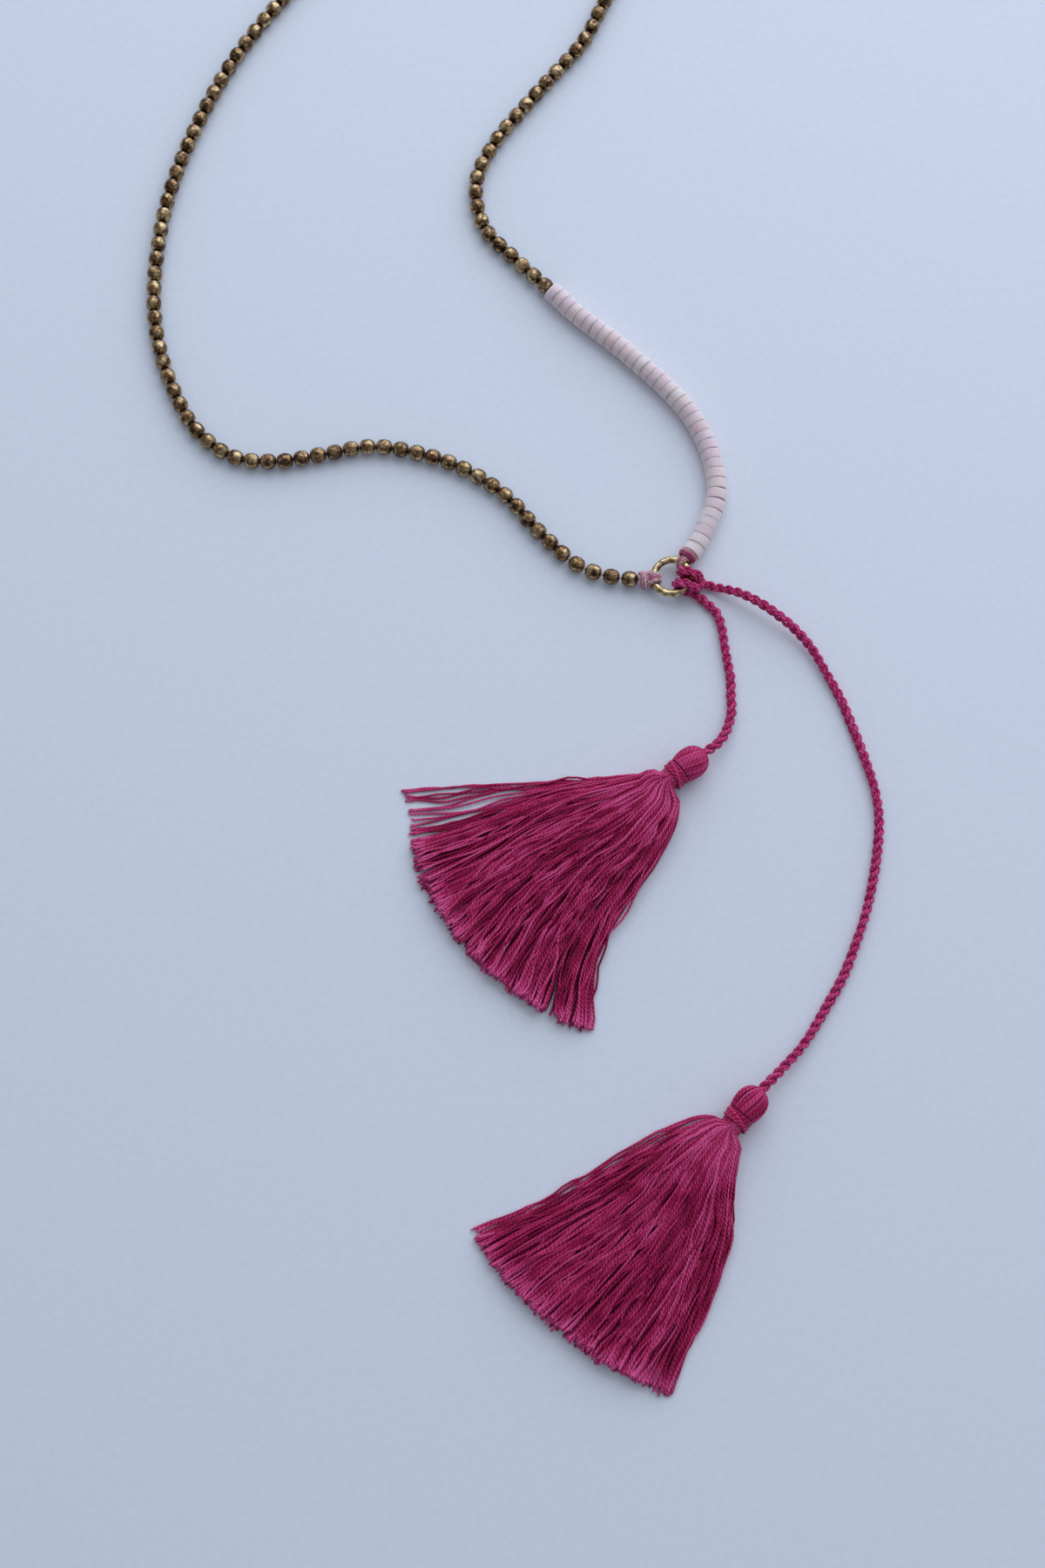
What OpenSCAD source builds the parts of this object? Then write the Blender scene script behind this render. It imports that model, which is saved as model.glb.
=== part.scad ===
// A long bead necklace that lies flat. A string of round metal beads ends in a run of
// flat discs, and both ends are tied to a small ring. A cord is looped through the
// ring with a lark's head, and each of its two tails carries a tassel.
// Sizes are in millimetres. Z is up from the surface, and the tassels point to -Y.

/* [Round beads] */
// Diameter of a round bead
gold_d = 3; // [2.6:0.1:3.2]
// Bore of a round bead
gold_bore = 1; // [0.9:0.05:1.2]
// Clear gap between tight round beads
gold_gap = 0.13; // [0.12:0.01:0.3]
// Extra slack beside each of the four beads nearest the ring
loose_gap = 0.3; // [0:0.05:0.5]

/* [Disc beads] */
// Diameter of a disc bead
disc_d = 3.7; // [3.4:0.1:4.2]
// Thickness of a disc bead
disc_t = 1.7; // [1.4:0.05:1.9]
// Bevel round the edge of a disc bead
disc_bevel = 0.14; // [0.1:0.02:0.2]
// Bore of a disc bead
disc_bore = 1.1; // [1:0.05:1.4]
// Clear gap between disc beads where their rims come closest
disc_gap = 0.12; // [0.12:0.01:0.2]
// Number of disc beads
disc_count = 35; // [30:1:38]

/* [Thread and knots] */
// Diameter of the thread that carries the beads
thread_d = 0.5; // [0.4:0.05:0.6]
// Diameter of the wound knot at the round beads
ball_d = 3.4; // [2.8:0.1:3.6]
// Length of the wound knot at the round beads
ball_len = 1.8; // [1.6:0.1:2.6]
// Diameter of the wound knot at the disc beads
coil_d = 3.8; // [3.2:0.1:4]
// Thickness of the wound knot at the disc beads
coil_t = 1.6; // [1.2:0.1:1.8]
// Thickness of the thread wound round the ring's wire
wrap_t = 0.42; // [0.35:0.01:0.5]
// Length of ring that the knot at the round beads covers
ball_wrap_w = 2.4; // [1.8:0.1:2.6]
// Length of ring that the knot at the disc beads covers
coil_wrap_w = 0.9; // [0.8:0.1:1.2]

/* [Ring] */
// Outer diameter of the ring
ring_d = 8; // [7.2:0.1:8.4]
// Diameter of the ring's wire
wire_d = 1.3; // [1.1:0.05:1.4]

/* [Cord] */
// Diameter of the cord that carries the tassels
cord_d = 1.7; // [1.5:0.05:1.8]
// Clear gap between the two legs of the hitch, where the ring's wire shows
leg_gap = 0.8; // [0.4:0.05:0.9]

/* [Tassels] */
// Diameter of a tassel's head
head_d = 5.9; // [5.4:0.1:6.6]
// Diameter of the bound neck below the head
neck_d = 4.2; // [3.6:0.1:4.4]
// Length of the neck binding
binding_w = 2; // [1.6:0.1:2.4]
// Thickness of the thread in the neck binding
binding_t = 0.4; // [0.3:0.05:0.5]
// Length of the skirt, from the binding to the cut ends
skirt_len = 46; // [40:1:50]
// Height of the skirt just below the binding
skirt_h = 5.8; // [5:0.1:6.4]
// Height of the skirt at its cut ends
hem_h = 2; // [1.6:0.1:2.6]

/* [Fit] */
// Clear gap between pieces that meet
clear = 0.06; // [0.04:0.01:0.1]
// Clear gap between the ring's wire and the cord that winds round it
wind_gap = 0.28; // [0.24:0.01:0.34]

/* [Hidden] */

// Points that the string's middle runs through, [x, y], chosen by eye. The first lies
// next to the ring, and the last leads back to it. The stretch past y = 70 is the plain
// way round the back.
STRING = [
    [13.5, -49.5], [6.5, -43], [0.5, -36], [-7.5, -30.5], [-15.5, -27.5], [-24.5, -26],
    [-33.5, -27.5], [-42.5, -29], [-51, -28], [-58, -22.5], [-62.5, -14.5], [-65.5, -6],
    [-67, 3], [-67, 12], [-66, 22], [-64, 31], [-61, 40], [-57.5, 48.5], [-53.5, 56.5],
    [-48.5, 64.5], [-43, 72], [-36, 82], [-30, 93], [-26, 105], [-24, 118], [-23, 131],
    [-20, 145], [-14, 158], [-5, 171], [6, 182], [19, 190], [32, 195], [46, 193],
    [58, 184], [65, 171], [67, 157], [64, 142], [57, 126], [48, 111], [38, 98],
    [29, 86], [23.5, 77], [19.5, 69], [15.5, 60.5], [9.5, 53], [3.5, 45.5], [-2, 38],
    [-5.5, 29.5], [-4, 20], [2, 13], [8.5, 6.5], [14, 1], [20, -4], [26, -9.5],
    [31, -14.5], [35, -19.5], [38, -25.5], [39.5, -31.5], [39.5, -37], [37.2, -43],
];
// Points of the short cord and the long cord, [x, y, lift above the surface].
CORD_SHORT = [
    [39, -58.5, 0], [40, -61, 0], [40.5, -64.5, 0], [41, -68, 0], [41.5, -71.5, 0],
    [41.5, -75, 0], [41.5, -78, 0.3], [40.5, -81.5, 0.9], [39, -84, 1.5], [36.5, -86, 2],
];
CORD_LONG = [
    [40.5, -54.3, 0.6], [43.5, -55.5, 1.6], [47, -57.5, 2], [50.5, -60, 1.8],
    [53.5, -62.5, 1.2], [56.5, -66, 0.6], [59, -70.5, 0.2], [61.5, -75.5, 0], [63.5, -81, 0],
    [65.5, -87, 0], [67, -92.5, 0], [67.5, -98, 0], [67, -103.5, 0], [66, -109, 0],
    [64.5, -115, 0], [62.5, -120.5, 0], [60, -126.5, 0], [56.5, -132.5, 0],
    [53, -138, 0.3], [49.5, -142, 1], [45, -146.5, 2],
];
// Where the ring lies, and the places round it of the two knots and of the hitch.
RING_XY = [31, -52.2];
BALL_DEG = 185;
COIL_DEG = 54;
HITCH_DEG = -20;
// Directions in which the string leaves the two knots.
BALL_OUT_DEG = 174;
COIL_OUT_DEG = 52;
// Directions in which the two tails leave the hitch.
LONG_OUT_DEG = -20;
SHORT_OUT_DEG = -45;

// Locks of the two skirts. Angles are in degrees from the tassel's own axis.
// Each row: [angle at the neck, angle at the hem, length, width, height], the last
// three as shares of the skirt's own.
LOCKS_SHORT = [
    [-46, -34, 1.05, 0.4, 0.35],
    [-44, -30, 1.02, 0.5, 0.5],
    [-40, -26, 1.01, 0.9, 0.8],
    [-33, -21, 1.02, 1.1, 1],
    [-25, -15.5, 1.01, 1.1, 0.9],
    [-16, -10, 1.02, 1.1, 1.1],
    [-7, -4.5, 1, 1.1, 1],
    [3, 1, 1.02, 1.1, 1.15],
    [13, 6.5, 1.01, 1.1, 1],
    [23, 12, 1.02, 1.1, 1.1],
    [33, 17.5, 1, 1.1, 1],
    [42, 22.5, 1.03, 1.15, 0.9],
    [51, 27.5, 1.02, 1.1, 1],
    [60, 32, 1.04, 0.9, 0.8],
];
LOCKS_LONG = [
    [-50, -27, 1.02, 0.5, 0.4],
    [-44, -23, 1.01, 0.8, 0.8],
    [-37, -19, 1, 0.9, 1],
    [-29, -15, 1.01, 1.1, 1.1],
    [-21, -10.5, 0.98, 1.1, 1],
    [-12, -6.5, 0.97, 1.1, 1.15],
    [-3, -2, 0.98, 1.1, 1],
    [6, 2.5, 0.97, 1.1, 1.1],
    [15, 7, 0.98, 1.1, 1],
    [24, 11, 0.98, 1.1, 1.15],
    [33, 15.5, 0.97, 1.1, 1],
    [42, 19.5, 0.98, 1.1, 1],
    [50, 23.5, 0.99, 0.9, 0.8],
];
// Columns of the lock tables.
AT_NECK = 0;
AT_HEM = 1;
LENGTH = 2;
WIDTH = 3;
HEIGHT = 4;
// Directions, in degrees, in which the two skirts point.
SHORT_DEG = 217;
LONG_DEG = 229;

fine = 64;
cord_sides = 8;
thread_sides = 6;
gold_r = gold_d / 2;
disc_r = disc_d / 2;
cord_r = cord_d / 2;
wire_r = wire_d / 2;
head_r = head_d / 2;
neck_r = neck_d / 2;
ring_r = ring_d / 2 - wire_r;
gold_pitch = gold_d + gold_gap;
loose_count = 4;

// Vector helpers.
function heading(deg) = [cos(deg), sin(deg)];
function unit(v) = v / norm(v);
function flat(p) = [p.x, p.y];
function raise(p, z) = [p.x, p.y, z];

// A smooth curve through the points p, with steps pieces between each two.
function bend(a, b, c, d, t) =
    0.5 * (2 * b + (c - a) * t + (2 * a - 5 * b + 4 * c - d) * t * t
    + (3 * b - a - 3 * c + d) * t * t * t);
function smooth(p, steps) = let (last = len(p) - 1) [
    for (i = [0 : last - 1])
        for (k = [0 : steps - 1])
            bend(p[max(i - 1, 0)], p[i], p[i + 1], p[min(i + 2, last)], k / steps),
    p[last],
];
// The distance run from the curve's start to each of its points.
function distances(p) = [
    for (
        i = 0, run = 0;
        i < len(p);
        i = i + 1, run = run + (i < len(p) ? norm(p[i] - p[i - 1]) : 0)
    )
        run
];
function direction(p, i) = unit(p[min(i + 1, len(p) - 1)] - p[max(i - 1, 0)]);

// A closed skin over rings of points, each ring with as many points as the next.
module skin(rings) {
    n = len(rings[0]);
    last = len(rings) - 1;
    polyhedron(
        points = [for (ring = rings) for (p = ring) p],
        faces = [
            [for (k = [0 : n - 1]) k],
            for (i = [0 : last - 1])
                for (k = [0 : n - 1])
                    let (a = i * n + k, b = i * n + (k + 1) % n)
                    each [[a, a + n, b + n], [a, b + n, b]],
            [for (k = [n - 1 : -1 : 0]) last * n + k],
        ]
    );
}
// Side vectors carried along a curve without twist.
function carried(p, side, i = 0, found = []) =
    i == len(p) ? found
    : let (t = direction(p, i), s = unit(side - (side * t) * t))
        carried(p, s, i + 1, concat(found, [s]));
// A round tube along the points p.
module tube(p, r, sides) {
    side = carried(p, cross(direction(p, 0), [0, 0, 1]));
    skin([
        for (i = [0 : len(p) - 1])
            let (s = side[i], up = cross(direction(p, i), s))
            [for (k = [0 : sides - 1]) let (a = k * 360 / sides) p[i] + r * (cos(a) * s + sin(a) * up)]
    ]);
}

// The two legs of the hitch cross the ring's wire at a slant, this far to each side.
leg_v = cord_r + leg_gap / 2;
leg_turn = asin(leg_v / ring_r);
// The ring leans: on one side it rests at the beads' height, and on the other
// the cord passes below its wire.
wind_r = wire_r / cos(leg_turn) + cord_r + wind_gap;
hitch_z = wind_r + cord_r + clear;
string_z = max(gold_r, ball_d / 2);
ring_z = (string_z + hitch_z) / 2;
ring_lean = asin((hitch_z - string_z) / 2 / ring_r);
function ring_at(deg) = raise(
    RING_XY + ring_r * heading(deg),
    ring_z + ring_r * sin(ring_lean) * cos(deg - HITCH_DEG)
);
module lean_with_ring() {
    translate(raise(RING_XY, ring_z))
        rotate([0, 0, HITCH_DEG])
            rotate([0, -ring_lean, 0])
                rotate([0, 0, -HITCH_DEG])
                    children();
}

// The string runs from the middle of the ball knot to the middle of the coil knot.
// Each knot is sunk a little into its own turns round the wire, and the string leads
// straight into it.
knot_sink = 0.35;
ball_lead = 6;
coil_lead = 2.5;
ball_away = wire_r + clear + wrap_t + ball_len / 2 - knot_sink;
coil_away = wire_r + clear + wrap_t + coil_t / 2 - knot_sink;
ball_xy = RING_XY + (ring_r + ball_away) * heading(BALL_DEG);
coil_xy = RING_XY + ring_r * heading(COIL_DEG) + coil_away * heading(COIL_OUT_DEG);
string_curve = smooth(
    concat(
        [ball_xy, ball_xy + ball_lead * heading(BALL_OUT_DEG)],
        STRING,
        [coil_xy + coil_lead * heading(COIL_OUT_DEG), coil_xy]
    ),
    6
);
string_run = distances(string_curve);
string_len = string_run[len(string_run) - 1];
string_x = [for (i = [0 : len(string_curve) - 1]) [string_run[i], string_curve[i].x]];
string_y = [for (i = [0 : len(string_curve) - 1]) [string_run[i], string_curve[i].y]];
function string_xy(s) = [lookup(s, string_x), lookup(s, string_y)];
// The way that the string faces, and how far it turns in a millimetre before s, in radians.
probe = 0.4;
function facing(s) = unit(string_xy(s + probe) - string_xy(s - probe));
function turning(s) = let (back = disc_t + disc_gap)
    asin(min(1, abs(cross(facing(s), facing(s - back))))) * PI / 180 / back;
// Places of the discs along the string, from the coil knot back. Where the string turns,
// the discs stand further apart, so that their rims keep the same gap.
disc_end = string_len - coil_t / 2 - disc_gap - disc_t / 2;
disc_places = [
    for (
        i = 0, s = disc_end;
        i < disc_count;
        i = i + 1, s = s - (disc_t + disc_gap) / (1 - disc_r * turning(s))
    )
        s
];
disc_start = disc_places[disc_count - 1];
gold_start = ball_len / 2 + loose_gap + gold_r;
gold_end = disc_start - disc_t / 2 - gold_gap - gold_r;
gold_run = gold_end - gold_start - loose_count * loose_gap;
gold_count = floor(gold_run / gold_pitch) + 1;
gold_step = gold_run / (gold_count - 1);
function gold_at(i) = gold_start + i * gold_step + min(i, loose_count) * loose_gap;
// The string lies at the beads' height, then at the discs', and rises to the coil knot.
string_h = [
    [0, string_z], [gold_at(3), gold_r], [gold_end - 3 * gold_pitch, gold_r],
    [disc_start - disc_t, disc_r], [disc_end + disc_t / 2, disc_r],
    [string_len, ring_at(COIL_DEG).z],
];
function string_at(s) = raise(string_xy(s), lookup(s, string_h));

module thread_on(s) {
    ahead = string_at(s + probe) - string_at(s - probe);
    translate(string_at(s))
        rotate([0, 90 - atan2(ahead.z, norm(flat(ahead))), atan2(ahead.y, ahead.x)])
            children();
}

module gold_beads() {
    color("#8a6a3c")
        for (i = [0 : gold_count - 1])
            thread_on(gold_at(i))
                difference() {
                    sphere(d = gold_d, $fn = fine);
                    cylinder(d = gold_bore, h = 2 * gold_d, center = true, $fn = fine);
                }
}

module disc_beads() {
    color("#e3c9d2")
        for (s = disc_places)
            thread_on(s)
                rotate_extrude($fn = fine)
                    polygon([
                        [disc_bore / 2, -disc_t / 2],
                        [disc_r - disc_bevel, -disc_t / 2],
                        [disc_r, disc_bevel - disc_t / 2],
                        [disc_r, disc_t / 2 - disc_bevel],
                        [disc_r - disc_bevel, disc_t / 2],
                        [disc_bore / 2, disc_t / 2],
                    ]);
}

module bead_thread() {
    color("#d9a3b4")
        tube([
            string_at(ball_len / 2 + clear),
            for (i = [0 : gold_count - 1]) string_at(gold_at(i)),
            for (i = [disc_count - 1 : -1 : 0]) string_at(disc_places[i]),
            string_at(string_len - coil_t / 2 - clear),
        ], thread_d / 2, thread_sides);
}

module ring() {
    color("#c9a24e")
        lean_with_ring()
            rotate_extrude($fn = fine)
                translate([ring_r, 0])
                    circle(d = wire_d, $fn = fine);
}

// Thread wound round the ring's wire, over a length w of the ring.
module wrap(deg, w) {
    turn = w / ring_r * 180 / PI;
    lean_with_ring()
        rotate([0, 0, deg - turn / 2])
            rotate_extrude(angle = turn, $fn = fine)
                translate([ring_r, 0])
                    circle(r = wire_r + clear + wrap_t, $fn = fine);
}

// The space that the ring's wire keeps inside a knot.
module wire_space() {
    lean_with_ring()
        rotate_extrude($fn = fine)
            translate([ring_r, 0])
                circle(r = wire_r + clear, $fn = fine);
}

module ball_knot() {
    color("#dfa9bf")
        difference() {
            union() {
                wrap(BALL_DEG, ball_wrap_w);
                translate(raise(ball_xy, ring_at(BALL_DEG).z))
                    rotate([0, 90, BALL_DEG])
                        intersection() {
                            sphere(d = ball_d, $fn = fine);
                            cylinder(d = ball_d, h = ball_len, center = true, $fn = fine);
                        }
            }
            wire_space();
        }
}

module coil_knot() {
    soft = coil_t * 0.4;
    color("#cf8fa6")
        difference() {
            union() {
                wrap(COIL_DEG, coil_wrap_w);
                translate(raise(coil_xy, ring_at(COIL_DEG).z))
                    rotate([0, 90, COIL_OUT_DEG])
                        rotate_extrude($fn = fine)
                            union() {
                                translate([0, -coil_t / 2])
                                    square([coil_d / 2 - soft, coil_t]);
                                translate([0, -coil_t / 2 + soft])
                                    square([coil_d / 2, coil_t - 2 * soft]);
                                for (side = [-1, 1])
                                    translate([coil_d / 2 - soft, side * (coil_t / 2 - soft)])
                                        circle(r = soft, $fn = fine);
                            }
            }
            wire_space();
        }
}

// The lark's head. Each leg comes from a tail below the ring's wire, winds up through
// the ring and over the wire, and the two meet in a bar across both tails.
leg_u = ring_r * (cos(leg_turn) - 1);
bar_u = cord_d + wire_r / 2;
tail_z = cord_r + clear;
bar_z = tail_z + cord_d + clear;
tail_len = cord_d;
// Where a leg lies under the bar and climbs to it, as shares of the bar's distance and of
// the leg's own place to the side.
under_far = 0.8;
under_near = 0.4;
climb = [0.72, 0.95];
crest = [0.95, 0.6];
hitch_xy = flat(ring_at(HITCH_DEG));
function at_hitch(u, v, z) = raise(hitch_xy + u * heading(HITCH_DEG) + v * heading(HITCH_DEG + 90), z);
// The point on a tail that lies ahead of the bar by a distance.
function tail_at(side, ahead) = at_hitch(bar_u, side * leg_v, tail_z)
    + raise(ahead * heading(side > 0 ? LONG_OUT_DEG : SHORT_OUT_DEG), 0);
function leg(side) = [
    tail_at(side, tail_len),
    tail_at(side, tail_len / 2),
    at_hitch(bar_u * under_far, side * leg_v, tail_z),
    at_hitch(bar_u * under_near, side * leg_v, tail_z),
    for (a = [0 : 30 : 210])
        at_hitch(leg_u - (wind_r + clear) * sin(a), side * leg_v, hitch_z - wind_r * cos(a)),
    at_hitch(bar_u * climb[0], side * leg_v * climb[1], (hitch_z + wind_r + bar_z) / 2),
    at_hitch(bar_u * crest[0], side * leg_v * crest[1], bar_z + clear),
];
function backwards(p) = [for (i = [len(p) - 1 : -1 : 0]) p[i]];

module cord_hitch() {
    color("#b5266a")
        tube(
            smooth(concat(leg(1), [at_hitch(bar_u, 0, bar_z)], backwards(leg(-1))), 2),
            cord_r,
            cord_sides
        );
}

// A cord from the hitch's tail on one side, along the points p.
function cord_points(side, p) = smooth(
    concat(
        [tail_at(side, tail_len + 3 * clear), tail_at(side, tail_len + cord_r)],
        [for (q = p) raise(q, tail_z + q.z)]
    ),
    2
);
cord_short_points = cord_points(-1, CORD_SHORT);
cord_long_points = cord_points(1, CORD_LONG);

module cord_short() {
    color("#b5266a")
        tube(cord_short_points, cord_r, cord_sides);
}

module cord_long() {
    color("#b5266a")
        tube(cord_long_points, cord_r, cord_sides);
}

// Stands a tassel at the end of its cord, its own X axis along the skirt.
module at_cord_end(p, deg) {
    translate(raise(flat(p[len(p) - 1]) + (head_r + clear) * heading(deg), head_r))
        rotate([0, 0, deg])
            children();
}

// The head is made of lengthwise ribs round a ball, as yarns folded over the cord's end.
head_ribs = 12;
rib_r = head_r * 0.26;
ball_share = 0.93;
rib_lean = [-66, -24, 24, 66];
// Turns each rib's facets a little, so that no corners of its neighbours meet on them.
rib_turn = 11;
neck_x = head_r * 0.9;
skirt_x = neck_x + binding_w;
module head() {
    for (k = [0 : head_ribs - 1])
        rotate([k * 360 / head_ribs, 0, 0])
            hull()
                for (lean = rib_lean)
                    rotate([0, lean, 0])
                        translate([0, 0, head_r - rib_r])
                            rotate([0, 0, rib_turn])
                                sphere(r = rib_r, $fn = 8);
    rotate([0, 90, 0])
        sphere(r = head_r * ball_share, $fn = 24);
    // Towards the binding the head narrows to the binding's own width.
    rotate([0, 90, 0])
        cylinder(r1 = head_r * ball_share, r2 = neck_r + binding_t, h = neck_x - 2 * clear, $fn = 24);
}

// One lock of the skirt, at the share t of its length. It leaves the neck near the axis,
// swings out to its place at the hem, reaches the surface at the share shoulder, and
// thins from there to the hem. The three powers say how early it swings, narrows and thins.
shoulder = 0.12;
swing_power = 2.5;
narrow_power = 2;
thin_power = 1.6;
root_r = neck_r * 0.9;
root_half_w = neck_r * 0.45;
lock_stations = [0, 0.05, shoulder, 0.22, 0.36, 0.55, 0.78, 1];
function lock_section(row, spread, t) = let (
        reach = t * skirt_len * row[LENGTH],
        deg = row[AT_HEM] + (row[AT_NECK] - row[AT_HEM]) * pow(1 - t, swing_power),
        half_w = spread / 2 * row[WIDTH] * reach + root_half_w * pow(1 - t, narrow_power),
        hem = hem_h * row[HEIGHT],
        high = t < shoulder ? root_r + (skirt_h - head_r - root_r) * t / shoulder
            : hem - head_r + (skirt_h - hem) * pow((1 - t) / (1 - shoulder), thin_power),
        low = max(clear - head_r, -root_r - head_r * t / shoulder),
        middle = [skirt_x + clear + reach * cos(deg), reach * sin(deg), (high + low) / 2],
        side = [-sin(deg), cos(deg), 0]
    )
    [for (k = [0 : 7]) middle + half_w * cos(k * 45) * side + [0, 0, (high - low) / 2 * sin(k * 45)]];
module lock(row, spread) {
    skin([for (t = lock_stations) lock_section(row, spread, t)]);
}

module tassel(locks) {
    spread = (locks[len(locks) - 1][AT_HEM] - locks[0][AT_HEM]) / (len(locks) - 1) * PI / 180;
    union() {
        head();
        rotate([0, 90, 0])
            cylinder(r = neck_r, h = skirt_x + neck_r, $fn = 24);
        for (row = locks)
            lock(row, spread);
    }
}

module tassel_short() {
    color("#a8316b")
        at_cord_end(cord_short_points, SHORT_DEG)
            tassel(LOCKS_SHORT);
}

module tassel_long() {
    color("#a8316b")
        at_cord_end(cord_long_points, LONG_DEG)
            tassel(LOCKS_LONG);
}

// Turns of thread side by side round the neck, pressed into each other and onto it.
module binding() {
    turns = floor(binding_w / binding_t);
    step = binding_w / turns;
    turn_d = step * 1.3;
    rotate([0, 90, 0])
        rotate_extrude($fn = fine)
            for (k = [0 : turns - 1])
                translate([neck_r + clear, neck_x + (k + 0.5) * step])
                    intersection() {
                        translate([binding_t - turn_d / 2, 0])
                            circle(d = turn_d, $fn = fine);
                        translate([0, -turn_d / 2])
                            square(turn_d);
                    }
}

module binding_short() {
    color("#c2407f")
        at_cord_end(cord_short_points, SHORT_DEG)
            binding();
}

module binding_long() {
    color("#c2407f")
        at_cord_end(cord_long_points, LONG_DEG)
            binding();
}

gold_beads();
disc_beads();
bead_thread();
ring();
ball_knot();
coil_knot();
cord_hitch();
cord_short();
cord_long();
tassel_short();
tassel_long();
binding_short();
binding_long();
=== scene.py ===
"""A tassel necklace laid flat: the looks of its pieces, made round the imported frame."""

import math

import bmesh
import bpy
import numpy as np
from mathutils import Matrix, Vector


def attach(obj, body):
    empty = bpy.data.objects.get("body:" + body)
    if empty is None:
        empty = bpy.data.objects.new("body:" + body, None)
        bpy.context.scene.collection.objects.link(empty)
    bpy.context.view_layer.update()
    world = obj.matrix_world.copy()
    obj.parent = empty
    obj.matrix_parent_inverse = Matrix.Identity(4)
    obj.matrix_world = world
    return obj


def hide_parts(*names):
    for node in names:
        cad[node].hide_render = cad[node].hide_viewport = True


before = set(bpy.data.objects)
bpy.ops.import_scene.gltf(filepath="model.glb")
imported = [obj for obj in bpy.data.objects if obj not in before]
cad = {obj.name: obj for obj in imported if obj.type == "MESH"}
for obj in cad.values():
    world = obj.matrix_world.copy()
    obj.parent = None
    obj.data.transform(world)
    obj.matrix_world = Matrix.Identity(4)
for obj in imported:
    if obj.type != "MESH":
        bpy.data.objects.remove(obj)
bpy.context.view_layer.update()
MM = 0.001
TAU = 2 * math.pi

# ---------------------------------------------------------------- sizes, in millimetres
CLEAR = 0.06
DISC_R = 1.85
BALL_R = 1.7
RING_XY = (31, -52.2)
RING_R = 3.35
WIRE_R = 0.65
WIND_GAP = 0.28
BALL_DEG = 185
COIL_DEG = 54
HITCH_DEG = -20
COIL_OUT_DEG = 52
LONG_OUT_DEG = -20
SHORT_OUT_DEG = -45
CORD_R = 0.85
LEG_GAP = 0.8
HEAD_R = 2.95
NECK_R = 2.1
NECK_X = 0.9 * HEAD_R
BINDING_W = 2
SKIRT_X = NECK_X + BINDING_W
SKIRT_H = 5.8
SHORT_DEG = 217
LONG_DEG = 229
# The routes of the two cords, [x, y, lift above the surface].
CORD_SHORT = [
    (39, -58.5, 0), (40, -61, 0), (40.5, -64.5, 0), (41, -68, 0), (41.5, -71.5, 0),
    (41.5, -75, 0), (41.5, -78, 0.3), (40.5, -81.5, 0.9), (39, -84, 1.5), (36.5, -86, 2),
]
CORD_LONG = [
    (40.5, -54.3, 0.6), (43.5, -55.5, 1.6), (47, -57.5, 2), (50.5, -60, 1.8),
    (53.5, -62.5, 1.2), (56.5, -66, 0.6), (59, -70.5, 0.2), (61.5, -75.5, 0), (63.5, -81, 0),
    (65.5, -87, 0), (67, -92.5, 0), (67.5, -98, 0), (67, -103.5, 0), (66, -109, 0),
    (64.5, -115, 0), (62.5, -120.5, 0), (60, -126.5, 0), (56.5, -132.5, 0),
    (53, -138, 0.3), (49.5, -142, 1), (45, -146.5, 2),
]

# ---------------------------------------------------------------- lines in space


def heading(deg):
    """A level way, turned from +X towards +Y."""
    return np.array([math.cos(math.radians(deg)), math.sin(math.radians(deg)), 0.0])


def unit(v):
    """The vectors at length 1."""
    v = np.asarray(v, float)
    return v / np.maximum(np.linalg.norm(v, axis=-1, keepdims=True), 1e-12)


def smooth(points, steps):
    """The curve that the solids follow, with steps pieces between each two points."""
    p = np.array(points, float)
    last = len(p) - 1
    t = np.arange(steps)[:, None] / steps
    parts = []
    for i in range(last):
        a, b, c, d = p[max(i - 1, 0)], p[i], p[i + 1], p[min(i + 2, last)]
        parts.append(
            0.5 * (2 * b + (c - a) * t + (2 * a - 5 * b + 4 * c - d) * t**2
                   + (3 * b - a - 3 * c + d) * t**3)
        )
    return np.vstack([*parts, p[last:]])


def distances(line):
    """How far along the line each of its points lies."""
    return np.r_[0, np.cumsum(np.linalg.norm(np.diff(line, axis=0), axis=1))]


def even(line, step):
    """The same line with its points evenly spaced."""
    run = distances(line)
    at = np.linspace(0, run[-1], max(2, int(round(run[-1] / step)) + 1))
    return np.stack([np.interp(at, run, line[:, k]) for k in range(3)], axis=1)


def sides(line):
    """Side vectors carried along a line without twist."""
    t = unit(np.gradient(line, axis=0))
    out = np.empty_like(line)
    s = np.cross(t[0], (0, 0, 1))
    if np.linalg.norm(s) < 1e-6:
        s = np.cross(t[0], (1, 0, 0))
    for i in range(len(line)):
        s = unit(s - s.dot(t[i]) * t[i])
        out[i] = s
    return out


# ---------------------------------------------------------------- node helpers


def add(tree, kind, inputs=None, **settings):
    """Adds a node. An input is a socket to link from, or a value to set."""
    node = tree.nodes.new(kind)
    for name, value in settings.items():
        setattr(node, name, value)
    for name, value in (inputs or {}).items():
        if isinstance(value, bpy.types.NodeSocket):
            tree.links.new(value, node.inputs[name])
        else:
            node.inputs[name].default_value = value
    return node


def calc(tree, operation, *values):
    """One step of arithmetic on sockets and numbers, as a socket."""
    return add(tree, "ShaderNodeMath", dict(enumerate(values)), operation=operation).outputs[0]


def calc_vector(tree, operation, inputs):
    """One step of arithmetic on vectors, as a socket."""
    return add(tree, "ShaderNodeVectorMath", inputs, operation=operation).outputs[0]


def field(tree, name, data_type="FLOAT"):
    """An attribute of the geometry, as a socket."""
    return add(tree, "GeometryNodeInputNamedAttribute", {"Name": name},
               data_type=data_type).outputs["Attribute"]


def stored(tree, geometry, name, value, data_type="FLOAT", domain="POINT"):
    """The geometry with a value kept on it as an attribute, as a socket."""
    return add(tree, "GeometryNodeStoreNamedAttribute",
               {"Geometry": geometry, "Name": name, "Value": value},
               data_type=data_type, domain=domain).outputs[0]


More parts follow.
